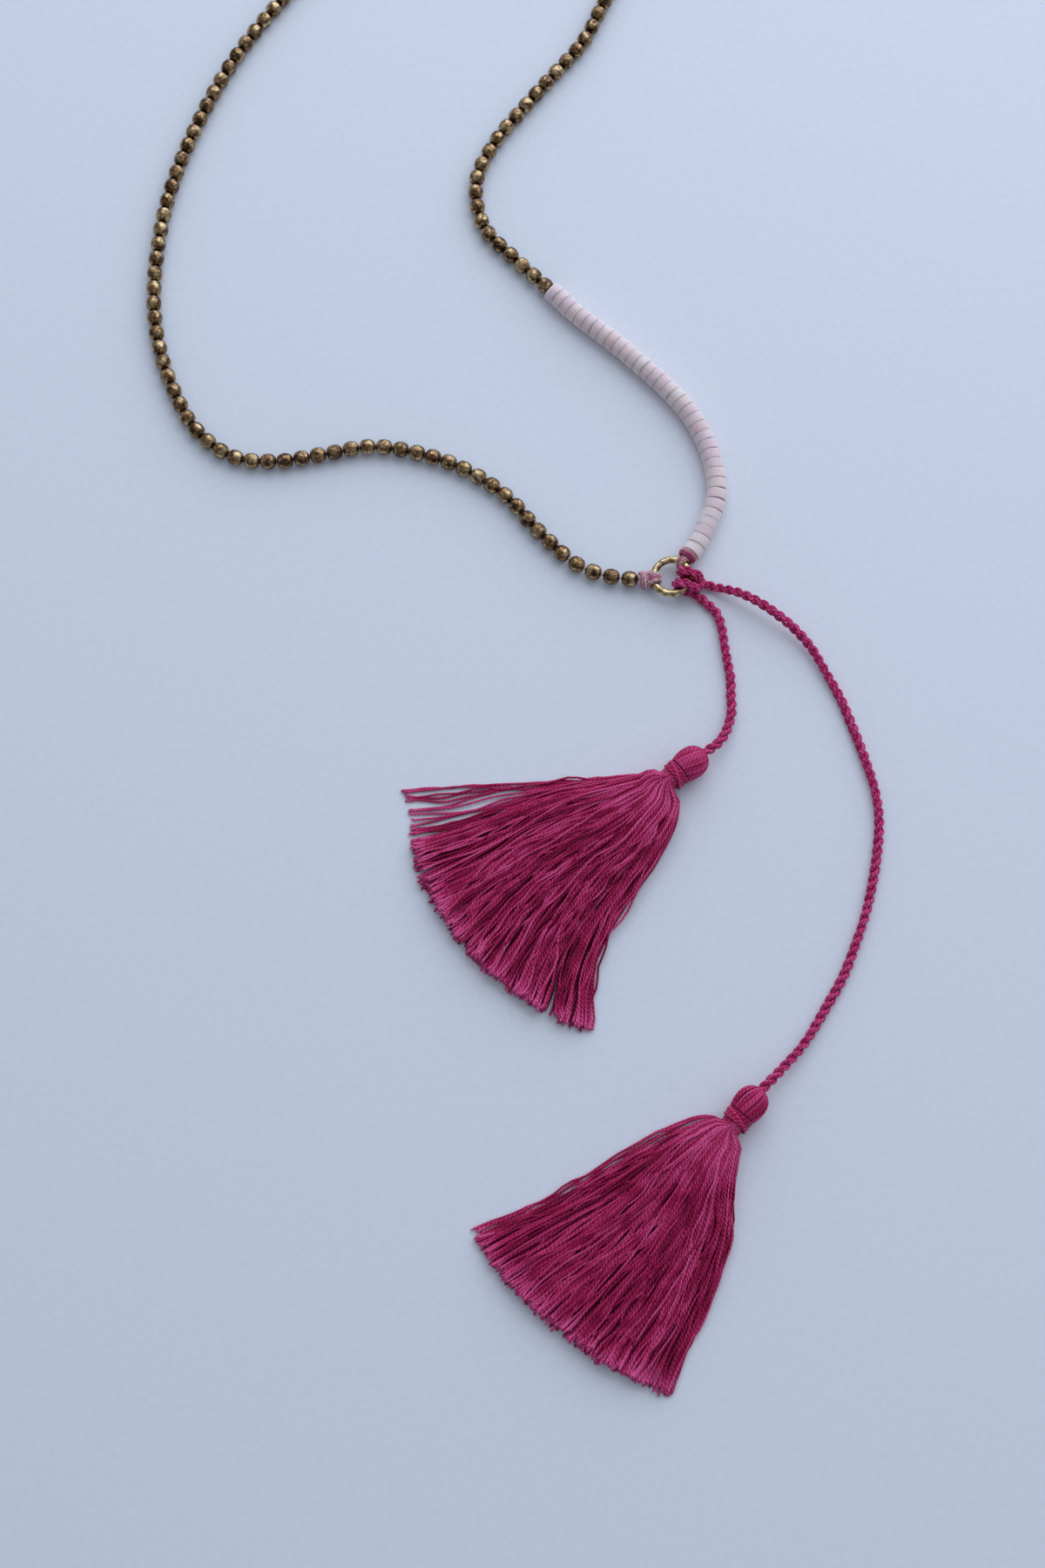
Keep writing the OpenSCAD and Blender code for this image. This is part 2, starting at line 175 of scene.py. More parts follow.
def new_tree(name, inputs):
    """A geometry tree with named inputs, and its group input and output nodes."""
    tree = bpy.data.node_groups.new(name, "GeometryNodeTree")
    tree.interface.new_socket("Geometry", in_out="INPUT", socket_type="NodeSocketGeometry")
    for label, (kind, default) in inputs.items():
        socket = tree.interface.new_socket(label, in_out="INPUT", socket_type="NodeSocket" + kind)
        if default is not None:
            socket.default_value = default
    tree.interface.new_socket("Geometry", in_out="OUTPUT", socket_type="NodeSocketGeometry")
    return tree, tree.nodes.new("NodeGroupInput").outputs, tree.nodes.new("NodeGroupOutput").inputs


def baked(name, source, tree, values):
    """Runs a tree on a source mesh and keeps the result as a plain mesh object."""
    rig = bpy.data.objects.new(name + ".source", source)
    bpy.context.collection.objects.link(rig)
    modifier = rig.modifiers.new("made", "NODES")
    modifier.node_group = tree
    sockets = {
        item.name: item.identifier
        for item in tree.interface.items_tree
        if item.item_type == "SOCKET" and item.in_out == "INPUT"
    }
    for label, value in values.items():
        modifier[sockets[label]] = value
    depsgraph = bpy.context.evaluated_depsgraph_get()
    mesh = bpy.data.meshes.new_from_object(rig.evaluated_get(depsgraph), depsgraph=depsgraph)
    mesh.name = name
    piece = bpy.data.objects.new(name, mesh)
    bpy.context.collection.objects.link(piece)
    rig.modifiers.remove(modifier)
    bpy.data.objects.remove(rig)
    bpy.data.meshes.remove(source)
    return piece


# ---------------------------------------------------------------- yarn and cord


def strand_twist_tree():
    """Lays strands side by side round a line, each in its own helix."""
    tree, given, out = new_tree("strand_twist", {
        "Strands": ("Int", 2),
        "Lay Radius": ("Float", 0.0004),
        "Pitch": ("Float", 0.0036),
    })
    copies = add(tree, "GeometryNodeDuplicateElements",
                 {"Geometry": given["Geometry"], "Amount": given["Strands"]}, domain="SPLINE")
    side = field(tree, "side", "FLOAT_VECTOR")
    turns = calc(tree, "DIVIDE", field(tree, "run"), given["Pitch"])
    share = calc(tree, "DIVIDE", copies.outputs["Duplicate Index"], given["Strands"])
    angle = calc(tree, "MULTIPLY", calc(tree, "ADD", turns, share), TAU)
    tangent = add(tree, "GeometryNodeInputTangent").outputs[0]
    other = calc_vector(tree, "CROSS_PRODUCT", {0: tangent, 1: side})
    along_side = calc_vector(tree, "SCALE", {0: side, "Scale": calc(tree, "COSINE", angle)})
    radial = calc_vector(tree, "MULTIPLY_ADD",
                         {0: other, 1: calc(tree, "SINE", angle), 2: along_side})
    turned = stored(tree, copies.outputs["Geometry"], "side", radial, "FLOAT_VECTOR")
    # The ply tells strands apart, for a thread whose strands have two colours.
    marked = stored(tree, turned, "ply", calc(tree, "ADD", field(tree, "ply"), share))
    reach = calc(tree, "MULTIPLY", field(tree, "size"), given["Lay Radius"])
    offset = calc_vector(tree, "SCALE",
                         {0: field(tree, "side", "FLOAT_VECTOR"), "Scale": reach})
    moved = add(tree, "GeometryNodeSetPosition", {"Geometry": marked, "Offset": offset})
    tree.links.new(moved.outputs[0], out["Geometry"])
    return tree


def yarn_tree():
    """Turns lines into round yarn. Each line may be twisted from strands, and each strand
    from finer ones. UV runs once round a strand and, in metres, along it."""
    tree, given, out = new_tree("yarn", {
        "Strands": ("Int", 1),
        "Lay Radius": ("Float", 0.0),
        "Pitch": ("Float", 0.0036),
        "Finer Strands": ("Int", 1),
        "Finer Lay Radius": ("Float", 0.0),
        "Finer Pitch": ("Float", 0.0024),
        "Strand Radius": ("Float", 0.0003),
        "Faces Round": ("Int", 6),
        "Material": ("Material", None),
    })
    lines = add(tree, "GeometryNodeMeshToCurve", {"Mesh": given["Geometry"]})
    laid = add(tree, "GeometryNodeGroup", node_tree=strand_twist)
    finer = add(tree, "GeometryNodeGroup", node_tree=strand_twist)
    tree.links.new(lines.outputs[0], laid.inputs["Geometry"])
    tree.links.new(laid.outputs[0], finer.inputs["Geometry"])
    for label in ("Strands", "Lay Radius", "Pitch"):
        tree.links.new(given[label], laid.inputs[label])
        tree.links.new(given["Finer " + label], finer.inputs[label])
    profile = add(tree, "GeometryNodeCurvePrimitiveCircle",
                  {"Resolution": given["Faces Round"], "Radius": 1.0})
    place = add(tree, "GeometryNodeSplineParameter")
    marked = stored(tree, profile.outputs["Curve"], "round", place.outputs["Factor"])
    radius = calc(tree, "MULTIPLY", field(tree, "size"), given["Strand Radius"])
    tube = add(tree, "GeometryNodeCurveToMesh",
               {"Curve": finer.outputs[0], "Profile Curve": marked, "Scale": radius,
                "Fill Caps": True})
    # Where the last face closes the round, its far corners count on to 1.
    at = field(tree, "round")
    mean = add(tree, "GeometryNodeFieldOnDomain", {"Value": at}, data_type="FLOAT", domain="FACE")
    behind = calc(tree, "SUBTRACT", mean.outputs[0], at)
    u = calc(tree, "ADD", at, calc(tree, "GREATER_THAN", behind, 0.25))
    uv = add(tree, "ShaderNodeCombineXYZ", {"X": u, "Y": field(tree, "run")})
    mapped = stored(tree, tube.outputs[0], "UVMap", uv.outputs[0], "FLOAT2", "CORNER")
    rounded = add(tree, "GeometryNodeSetShadeSmooth", {"Geometry": mapped})
    plain = add(tree, "GeometryNodeRealizeInstances", {"Geometry": rounded.outputs[0]})
    dressed = add(tree, "GeometryNodeSetMaterial",
                  {"Geometry": plain.outputs[0], "Material": given["Material"]})
    tree.links.new(dressed.outputs[0], out["Geometry"])
    return tree


def line_mesh(name, lines):
    """A mesh of bare lines. Each line is a dict of its points in millimetres, and of side,
    run, size and shade where it has its own."""
    points, edges, side, run, size, shade = [], [], [], [], [], []
    for line in lines:
        p = np.asarray(line["points"], float)
        n, first = len(p), len(points)
        points.extend(p * MM)
        edges.extend((first + i, first + i + 1) for i in range(n - 1))
        side.extend(line.get("side", sides(p)))
        run.extend(np.asarray(line.get("run", distances(p))) * MM)
        size.extend(np.broadcast_to(line.get("size", 1.0), n))
        shade.extend(np.broadcast_to(line.get("shade", 0.5), n))
    mesh = bpy.data.meshes.new(name)
    mesh.from_pydata([tuple(p) for p in points], edges, [])
    mesh.attributes.new("side", "FLOAT_VECTOR", "POINT").data.foreach_set(
        "vector", np.asarray(side, np.float32).ravel())
    for label, values in (("run", run), ("size", size), ("shade", shade)):
        mesh.attributes.new(label, "FLOAT", "POINT").data.foreach_set(
            "value", np.asarray(values, np.float32))
    return mesh


strand_twist = strand_twist_tree()
yarn = yarn_tree()


def yarn_piece(name, lines, material, radius, faces, **twist):
    """Lines made into yarn of one material. The radius is a single strand's."""
    values = {"Strand Radius": radius * MM, "Faces Round": faces, "Material": material}
    values.update(twist)
    return baked(name, line_mesh(name + ".lines", lines), yarn, values)


# ---------------------------------------------------------------- materials


def linear(code):
    """An sRGB hex colour as linear RGBA."""
    out = []
    for k in (1, 3, 5):
        c = int(code[k:k + 2], 16) / 255
        out.append(c / 12.92 if c <= 0.04045 else ((c + 0.055) / 1.055) ** 2.4)
    return (*out, 1.0)


def new_material(name, **shader):
    """A material with one principled shader, its tree and its shader node."""
    material = bpy.data.materials.new(name)
    material.use_nodes = True
    tree = material.node_tree
    skin = tree.nodes["Principled BSDF"]
    for label, value in shader.items():
        skin.inputs[label.replace("_", " ")].default_value = value
    return material, tree, skin


def ramp(tree, factor, *stops):
    """Colours by hex code along a factor, as (place, colour)."""
    node = add(tree, "ShaderNodeValToRGB", {"Fac": factor})
    elements = node.color_ramp.elements
    while len(elements) < len(stops):
        elements.new(0.5)
    for element, (place, code) in zip(elements, stops):
        element.position = place
        element.color = linear(code)
    return node.outputs["Color"]


def aged_brass():
    """Brass that was darkened and then rubbed back: satin, brown left in the lows, under a
    thin lacquer. Each bead has its own tone."""
    material, tree, skin = new_material("aged_brass", Metallic=1.0, Roughness=0.3,
                                        Coat_Weight=0.3, Coat_Roughness=0.1)
    where = add(tree, "ShaderNodeTexCoord").outputs["Object"]
    tone = add(tree, "ShaderNodeAttribute", attribute_name="shade").outputs["Fac"]
    # Patches of darkening, about a third of a bead wide.
    patches = add(tree, "ShaderNodeTexNoise", {"Vector": where, "Scale": 900, "Detail": 5,
                                               "Roughness": 0.7})
    level = calc(tree, "MULTIPLY_ADD", tone, 0.07, patches.outputs[0])
    colour = ramp(tree, level, (0.42, "#3a2214"), (0.54, "#86653f"), (0.68, "#c8b184"))
    tree.links.new(colour, skin.inputs["Base Color"])
    # The rubbed grain, about 0.2 mm.
    grain = add(tree, "ShaderNodeTexNoise", {"Vector": where, "Scale": 4500, "Detail": 2})
    rough = add(tree, "ShaderNodeMapRange",
                {"Value": grain.outputs[0], "To Min": 0.12, "To Max": 0.28})
    tree.links.new(rough.outputs[0], skin.inputs["Roughness"])
    bump = add(tree, "ShaderNodeBump", {"Height": patches.outputs[0], "Strength": 0.15,
                                        "Distance": 0.0001})
    tree.links.new(bump.outputs[0], skin.inputs["Normal"])
    return material


def polished_brass():
    """Drawn brass wire, tumbled bright, with fine rubs."""
    material, tree, skin = new_material("polished_brass", Metallic=1.0, Roughness=0.15)
    where = add(tree, "ShaderNodeTexCoord").outputs["Object"]
    rubs = add(tree, "ShaderNodeTexNoise", {"Vector": where, "Scale": 1400, "Detail": 4})
    colour = ramp(tree, rubs.outputs[0], (0.4, "#927549"), (0.6, "#dcc795"))
    tree.links.new(colour, skin.inputs["Base Color"])
    rough = add(tree, "ShaderNodeMapRange",
                {"Value": rubs.outputs[0], "To Min": 0.06, "To Max": 0.16})
    tree.links.new(rough.outputs[0], skin.inputs["Roughness"])
    return material


def pink_stone():
    """Pale pink stone, sawn and tumbled: waxy, a little see-through, each disc its own tint."""
    material, tree, skin = new_material(
        "pink_stone", Roughness=0.55, IOR=1.45, Subsurface_Weight=1.0,
        Subsurface_Radius=(1.0, 0.93, 0.9), Subsurface_Scale=0.0014)
    skin.inputs["Specular IOR Level"].default_value = 0.15
    where = add(tree, "ShaderNodeTexCoord").outputs["Object"]
    tint = add(tree, "ShaderNodeAttribute", attribute_name="shade").outputs["Fac"]
    colour = ramp(tree, tint, (0.0, "#e9dfd8"), (0.3, "#e9cec7"), (0.65, "#e0c4cb"),
                  (1.0, "#e6bdb8"))
    cloud = add(tree, "ShaderNodeTexNoise", {"Vector": where, "Scale": 700, "Detail": 3})
    # A mix node has its sockets for each data type. 6, 7 and out 2 are the colour ones.
    mixed = add(tree, "ShaderNodeMix",
                {"Factor": cloud.outputs[0], 6: colour, 7: linear("#e9d4d0")},
                data_type="RGBA", blend_type="MIX")
    tree.links.new(mixed.outputs[2], skin.inputs["Base Color"])
    bump = add(tree, "ShaderNodeBump", {"Height": cloud.outputs[0], "Strength": 0.1,
                                        "Distance": 0.0001})
    tree.links.new(bump.outputs[0], skin.inputs["Normal"])
    return material


def spun(name, dark, mid, light, patches, twist_mm, gloss, two_tone=0.0):
    """Spun thread: two plies wound at a slant, with painted shade where they meet, and a soft
    sheen.
    The gloss is its roughness: rayon shines more than cotton. A two-tone thread has
    strands of two colours."""
    material, tree, skin = new_material(name, Roughness=gloss, Sheen_Weight=0.08,
                                        Sheen_Roughness=0.4, Sheen_Tint=linear(light))
    skin.inputs["Specular IOR Level"].default_value = 0.16
    uv = add(tree, "ShaderNodeUVMap", uv_map="UVMap").outputs[0]
    split = add(tree, "ShaderNodeSeparateXYZ", {0: uv})
    along = calc(tree, "MULTIPLY", split.outputs[1], 1 / (twist_mm * MM))
    slant = calc(tree, "MULTIPLY_ADD", split.outputs[0], 2.0, along)
    ridge = calc(tree, "COSINE", calc(tree, "MULTIPLY", slant, TAU))
    height = add(tree, "ShaderNodeMapRange", {"Value": ridge, "From Min": -1.0})
    shade = add(tree, "ShaderNodeAttribute", attribute_name="shade").outputs["Fac"]
    where = add(tree, "ShaderNodeTexCoord").outputs["Object"]
    tone = add(tree, "ShaderNodeTexNoise", {"Vector": where, "Scale": patches, "Detail": 2})
    ply = add(tree, "ShaderNodeAttribute", attribute_name="ply").outputs["Fac"]
    # The colour's level: the strand's shade (on the tassels' yarns this holds painted highlight and
    # painted shade), the dye's patches, and the plies' ridges with painted shade in their grooves.
    strand_level = calc(tree, "MULTIPLY_ADD", ply, two_tone, shade)
    level = calc(tree, "MULTIPLY_ADD", tone.outputs[0], 0.5, strand_level)
    # Painted shade: the colour is darker in the grooves where the plies meet, lighter on their
    # crests.
    level_with_groove_shade = calc(tree, "MULTIPLY_ADD", height.outputs[0], 0.3, level)
    lowered = calc(tree, "SUBTRACT", level_with_groove_shade, 0.4)
    colour = ramp(tree, lowered, (0.1, dark), (0.5, mid), (0.95, light))
    tree.links.new(colour, skin.inputs["Base Color"])
    bump = add(tree, "ShaderNodeBump", {"Height": height.outputs[0], "Strength": 0.8,
                                        "Distance": 0.00012})
    tree.links.new(bump.outputs[0], skin.inputs["Normal"])
    return material


def packed_yarn():
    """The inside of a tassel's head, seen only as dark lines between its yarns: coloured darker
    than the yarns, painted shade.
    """
    material, tree, skin = new_material("packed_yarn_in_painted_shade", Roughness=0.8)
    where = add(tree, "ShaderNodeTexCoord").outputs["Object"]
    fibre = add(tree, "ShaderNodeTexNoise", {"Vector": where, "Scale": 3000, "Detail": 2})
    # Darker than the yarns over it: painted shade between them.
    colour = ramp(tree, fibre.outputs[0], (0.3, "#5e0f36"), (0.7, "#8e1c54"))
    tree.links.new(colour, skin.inputs["Base Color"])
    return material


BRASS = aged_brass()
BRIGHT_BRASS = polished_brass()
STONE = pink_stone()
# Glossy rayon yarn, dyed magenta.
YARN = spun("twisted_rayon_yarn", "#620124", "#b41550", "#ee649e",
            patches=300, twist_mm=0.8, gloss=0.4)
CORD = spun("cabled_cotton_cord", "#7e0e3a", "#bd2563", "#ea6c9e",
            patches=700, twist_mm=0.5, gloss=0.48, two_tone=0.12)
CORE = packed_yarn()
# Thread spun from a pink and a cream strand.
THREAD = spun("spun_pink_cream_thread", "#cc7a94", "#dd9dae", "#e6dac0",
              patches=500, twist_mm=0.5, gloss=0.5, two_tone=0.8)
DEEP_THREAD = spun("spun_deep_pink_thread", "#bc587a", "#d38698", "#dfcaa8",
                   patches=500, twist_mm=0.5, gloss=0.5, two_tone=0.7)

# ---------------------------------------------------------------- camera

camera = bpy.data.objects.new("camera", bpy.data.cameras.new("camera"))
camera.location = (0.0035, -0.193, 0.380)
camera.rotation_euler = (math.radians(15), 0, 0)
camera.data.lens = 50
camera.data.clip_start = 0.01
bpy.context.collection.objects.link(camera)
bpy.context.scene.camera = camera

# ---------------------------------------------------------------- the twisted cord

LEG_V = CORD_R + LEG_GAP / 2
LEG_TURN = math.asin(LEG_V / RING_R)
WIND_R = WIRE_R / math.cos(LEG_TURN) + CORD_R + WIND_GAP
HITCH_Z = WIND_R + CORD_R + CLEAR
STRING_Z = BALL_R
RING_Z = (STRING_Z + HITCH_Z) / 2
RING_LEAN = math.asin((HITCH_Z - STRING_Z) / 2 / RING_R)
LEG_U = RING_R * (math.cos(LEG_TURN) - 1)
BAR_U = 2 * CORD_R + WIRE_R / 2
TAIL_Z = CORD_R + CLEAR
BAR_Z = TAIL_Z + 2 * CORD_R + CLEAR
TAIL_LEN = 2 * CORD_R
RING_CENTRE = np.array([*RING_XY, RING_Z])
RING_AHEAD = heading(HITCH_DEG) * math.cos(RING_LEAN) + np.array([0, 0, math.sin(RING_LEAN)])
RING_ASIDE = heading(HITCH_DEG + 90)
RING_UP = np.cross(RING_AHEAD, RING_ASIDE)


def at_hitch(u, v, z):
    """A point by the ring's hitched side: u outwards from the wire, v along it, z up."""
    foot = np.array([*RING_XY, 0]) + RING_R * heading(HITCH_DEG)
    return foot + u * heading(HITCH_DEG) + v * heading(HITCH_DEG + 90) + np.array([0, 0, z])


def tail_at(side, ahead):
    """A point on the long (1) or short (-1) tail where it leaves the hitch."""
    out = LONG_OUT_DEG if side > 0 else SHORT_OUT_DEG
    return at_hitch(BAR_U, side * LEG_V, TAIL_Z) + ahead * heading(out)


def hitch_leg(side):
    """One leg of the lark's head, from its tail up through the ring to the bar."""
    over = [
        at_hitch(LEG_U - (WIND_R + CLEAR) * math.sin(math.radians(a)), side * LEG_V,
                 HITCH_Z - WIND_R * math.cos(math.radians(a)))
        for a in range(0, 211, 30)
    ]
    return [
        tail_at(side, TAIL_LEN), tail_at(side, TAIL_LEN / 2),
        at_hitch(0.8 * BAR_U, side * LEG_V, TAIL_Z), at_hitch(0.4 * BAR_U, side * LEG_V, TAIL_Z),
        *over,
        at_hitch(0.72 * BAR_U, side * 0.95 * LEG_V, (HITCH_Z + WIND_R + BAR_Z) / 2),
        at_hitch(0.95 * BAR_U, side * 0.6 * LEG_V, BAR_Z + CLEAR),
    ]


def cord_route(side, route):
    """A tail's points from the hitch to its tassel."""
    return [tail_at(side, TAIL_LEN + CORD_R), *[(x, y, TAIL_Z + lift) for x, y, lift in route]]


def head_centre(route, deg):
    """The middle of the head in which a tail's route ends."""
    x, y, _ = route[-1]
    return np.array([x, y, HEAD_R]) + (HEAD_R + CLEAR) * heading(deg)


SHORT_HEAD = head_centre(CORD_SHORT, SHORT_DEG)
LONG_HEAD = head_centre(CORD_LONG, LONG_DEG)
CORD_STEP = 0.25
ROUTE_STEPS = 16
STRAND_R = 0.27
# How far the cord runs on into a tassel's head.
INTO_HEAD = 1.2
# The cord is one line: in from the long tail's tassel, round the ring, out to the short one.
long_route = cord_route(1, CORD_LONG)
short_route = cord_route(-1, CORD_SHORT)
long_leg, short_leg = hitch_leg(1), hitch_leg(-1)
long_end = long_route[-1] + INTO_HEAD * unit(LONG_HEAD - long_route[-1])
short_end = short_route[-1] + INTO_HEAD * unit(SHORT_HEAD - short_route[-1])
whole_route = [long_end, *long_route[::-1], *long_leg, at_hitch(BAR_U, 0, BAR_Z),
               *short_leg[::-1], *short_route, short_end]
whole = smooth(whole_route, ROUTE_STEPS)
first_cut = distances(whole)[ROUTE_STEPS * (1 + len(long_route))]
last_cut = distances(whole)[-1] - distances(whole[::-1])[ROUTE_STEPS * (1 + len(short_route))]
cord_line = even(whole, CORD_STEP)
cord_run = distances(cord_line)
cord_side = sides(cord_line)
PLIES = {
    "Strands": 2, "Lay Radius": 0.44 * MM, "Pitch": 3.6 * MM,
    "Finer Strands": 3, "Finer Lay Radius": 0.26 * MM, "Finer Pitch": -2.6 * MM,
}


def cord_part(name, start, end):
    """The cord between two distances along it, and its centreline there."""
    keep = (cord_run >= start - CORD_STEP / 2) & (cord_run <= end + CORD_STEP / 2)
    line = {"points": cord_line[keep], "side": cord_side[keep], "run": cord_run[keep]}
    return yarn_piece(name, [line], CORD, STRAND_R, faces=6, **PLIES), cord_line[keep]


long_cord, long_line = cord_part("long_cord_twist", 0, first_cut)
hitch, _ = cord_part("hitch_twist", first_cut, last_cut)
short_cord, short_line = cord_part("short_cord_twist", last_cut, cord_run[-1])
for piece, node, line, exit_at in (
    (long_cord, "cord_long", long_line[::-1], long_line[-1]),
    (short_cord, "cord_short", short_line, short_line[0]),
):
    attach(piece, "root")
    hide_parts(node)
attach(hitch, "root")
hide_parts("cord_hitch")

# ---------------------------------------------------------------- tassels

YARN_R = 0.22
HEAD_YARN_R = 0.24
HEAD_YARNS = 46
HEM_H = 2.8
# How far out the yarns fill the neck.
FILL_R = NECK_R - 0.1
# The run below the binding over which the fan opens, and over which it drops to its pile.
OPEN_RUN = 5
DROP_RUN = 6.5
# Each yarn's twist starts anywhere in this many millimetres.
TWIST_SHIFT = 5
# Shares of a yarn's length at which its line has a point, closer together at the neck.
STATIONS = np.r_[np.linspace(0, 0.2, 9)[:-1], np.linspace(0.2, 1, 22)]


def eased(x):
    """From 0 to 1 with a soft start and end."""
    x = np.clip(x, 0, 1)
    return x * x * (3 - 2 * x)


def skirt_height(t):
    """How thick the skirt lies, from below the binding to the hem."""
    shoulder, root, crest = 0.2, HEAD_R + 0.85 * NECK_R, 0.93 * SKIRT_H
    return np.where(t < shoulder, root + (crest - root) * eased(t / shoulder),
                    HEM_H + (crest - HEM_H) * ((1 - t) / (1 - shoulder)).clip(0) ** 1.3)


def drift(rng, length, sizes):
    """A limp yarn's way of wandering from side to side: waves of a few lengths, in mm."""
    out = 0
    for wave, size in sizes:
        out = out + size * rng.normal() * np.sin(TAU * (STATIONS * length / wave + rng.random()))
    return out * eased(STATIONS / 0.3)


def tassel_lines(seed, left, right, outer, lengths, clumps, in_clump, under, strays, loose):
    """The yarns of a skirt in its own frame: X along the tassel, the head's middle at zero.
    The edges are tables of (reach, angle), left and right of the mass and the outermost
    loose yarns. The lengths are those at the left, in the middle and at the right."""
    rng = np.random.default_rng(seed)
    yarns, fibres = [], []
    left, right, outer = (np.array(edge, float).T for edge in (left, right, outer))

    def lay(u0, u1, v0, v1, length, waves, shade, off=0.0):
        """One yarn, from its place in the neck's round to its place in the hem. Its u goes
        across the skirt and its v up through it, both from 0 to 1."""
        t = STATIONS
        r = t * length
        u = u0 + (u1 - u0) * eased(t * 1.2)
        v = v0 + (v1 - v0) * t
        a = np.interp(r, *left) * (1 - u) + np.interp(r, *right) * u
        if off:
            # A loose yarn lies between the mass's edge and the outermost one.
            a = np.interp(r, *left) * (1 - off) + np.interp(r, *outer) * off
        a = np.radians(a)
        side = drift(rng, length, waves)
        neck_y = (2 * u0 - 1) * FILL_R * np.sqrt(np.clip(1 - (2 * v0 - 1) ** 2, 0.06, 1))
        neck_z = (2 * v0 - 1) * FILL_R
        w = eased(r / OPEN_RUN)
        x = SKIRT_X + r * (np.cos(a) * w + 1 - w) - side * np.sin(a)
        y = r * np.sin(a) * w + neck_y * (1 - w) + side * np.cos(a)
        # The pile is thickest in the middle, and thins to single yarns at its edges.
        crown = 0.3 + 0.7 * np.sqrt(np.clip(1 - np.abs(2 * u - 1) ** 3, 0, 1))
        low = YARN_R + 0.02
        high = np.maximum(skirt_height(t) * crown - YARN_R, low)
        z = low + (high - low) * np.clip(v, 0, 1)
        fall = eased(r / DROP_RUN)
        z = (HEAD_R + neck_z) * (1 - fall) + z * fall - HEAD_R
        p = np.stack([x, y, z], axis=1)
        p = np.vstack([[NECK_X + 0.4, neck_y * 0.9, neck_z * 0.9], p])
        size = np.r_[0.55, np.interp(t, [0, 0.05, 0.2, 0.97, 1], [0.6, 0.7, 1, 1, 1.1])]
        # Painted highlight: the colour is lightened where the yarns bend at the neck, and at their
        # cut ends.
        painted_highlight = np.r_[0.2, np.interp(t, [0, 0.12, 0.35, 0.94, 1], [0.2, 0.2, 0, 0, 0.35])]
        yarns.append({"points": p, "size": size, "shade": shade + painted_highlight,
                      "run": distances(p) + TWIST_SHIFT * rng.random()})
        # The cut end frays into a few short fibres.
        tip, way = p[-1], unit(p[-1] - p[-3])
        for _ in range(4):
            lean = unit(way + rng.normal(0, 0.3, 3) * (1, 1, 0.8))
            start = tip - 0.35 * way + rng.normal(0, 0.1, 3)
            bend = start + rng.uniform(0.3, 0.45) * unit(way + 0.6 * lean)
            end = bend + rng.uniform(0.15, 0.35) * lean
            line = np.array([start, bend, end])
            line[:, 2] = np.maximum(line[:, 2], 0.12 - HEAD_R)
            # The fibres' colour is lightened: painted highlight on the cut ends.
            fibres.append({"points": line, "size": [0.55, 0.5, 0.35], "shade": shade + 0.55})

    def long_at(u):
        """A yarn's length at its place across the hem, cut a little unevenly."""
        return float(np.interp(u, [0, 0.5, 1], lengths)) + rng.normal(0, 0.35)

    soft = [(36, 0.34), (16, 0.17), (8, 0.07)]
    # Yarns that lie evenly underneath, coloured darker: painted shade in the gaps between the
    # clumps.
    for k in range(under):
        u = (k + rng.random()) / under
        lay(u, u + rng.normal(0, 0.02), rng.uniform(0, 0.3), rng.uniform(0, 0.35), long_at(u),
            soft, rng.uniform(-0.05, 0.25))
    # Most yarns go in clumps that draw together towards the hem.
    for c in range(clumps):
        middle = (c + 0.5 + rng.normal(0, 0.12)) / clumps
        pull, lean, cut = rng.uniform(0.5, 1.0), rng.normal(0, 0.012), rng.normal(0, 0.25)
        rise, tone = rng.uniform(-0.2, 0.15), rng.uniform(-0.1, 0.1)
        for k in range(in_clump):
            u0 = middle + rng.uniform(-0.85, 0.85) / clumps
            u1 = np.clip(middle + (u0 - middle) * pull + lean + rng.normal(0, 0.012), 0, 1)
            v0 = (k + rng.random()) / in_clump
            lay(np.clip(u0, 0, 1), u1, v0, np.clip(v0 + rise + rng.normal(0, 0.12), 0, 1),
                long_at(u1) + cut, soft, 0.2 + tone + 0.45 * rng.random())
    # Some cross the others at a slant on top.
    for _ in range(strays):
        u0 = rng.uniform(0.04, 0.96)
        u1 = float(np.clip(u0 + rng.normal(0, 0.1), 0, 1))
        lay(u0, u1, rng.uniform(0.7, 1), rng.uniform(0.8, 1), long_at(u1),
            [(30, 0.6), (14, 0.28), (7, 0.12)], rng.uniform(0.25, 0.75))
    for off, v, length in loose:
        lay(0.0, 0.0, v, 0.5 * v, length, [(40, 0.25), (17, 0.22), (8, 0.12)],
            rng.uniform(0.4, 0.75), off)
    return yarns, fibres


# A head's outline from the cord to the binding, as (along, radius) of its yarns' middles.
HEAD_OUTLINE = [
    (-2.75, 0.5), (-2.45, 1.25), (-1.85, 1.95), (-1, 2.46), (0, 2.68), (1, 2.66),
    (1.9, 2.5), (2.7, 2.26),
]


def head_lines(seed, count, swirl, crease):
    """Yarns that run lengthwise over a tassel's head, from the cord to the neck. The crease
    is the groove between the two halves that were folded over the cord."""
    rng = np.random.default_rng(seed)
    outline = smooth([(x, r, 0) for x, r in HEAD_OUTLINE], 3)
    s = distances(outline)
    s = s / s[-1]
    lines = []
    for k in range(count):
        turn = TAU * (k + rng.uniform(-0.2, 0.2)) / count
        around = turn + swirl * (s - 0.5) + rng.normal(0, 0.04) * np.sin(math.pi * s)
        groove = np.exp(-((np.mod(around - crease + math.pi, TAU) - math.pi) / 0.22) ** 2)
        r = outline[:, 1] * (1 - 0.1 * groove * np.sin(math.pi * s)) + 0.05 * rng.random()
        p = np.stack([outline[:, 0], r * np.cos(around), r * np.sin(around)], axis=1)
        lines.append({"points": p, "size": np.clip(r / 2.1, 0.3, 1.0) * 0.95,
                      "shade": 0.38 + 0.35 * rng.random(),
                      "run": distances(p) + TWIST_SHIFT * rng.random()})
    return lines


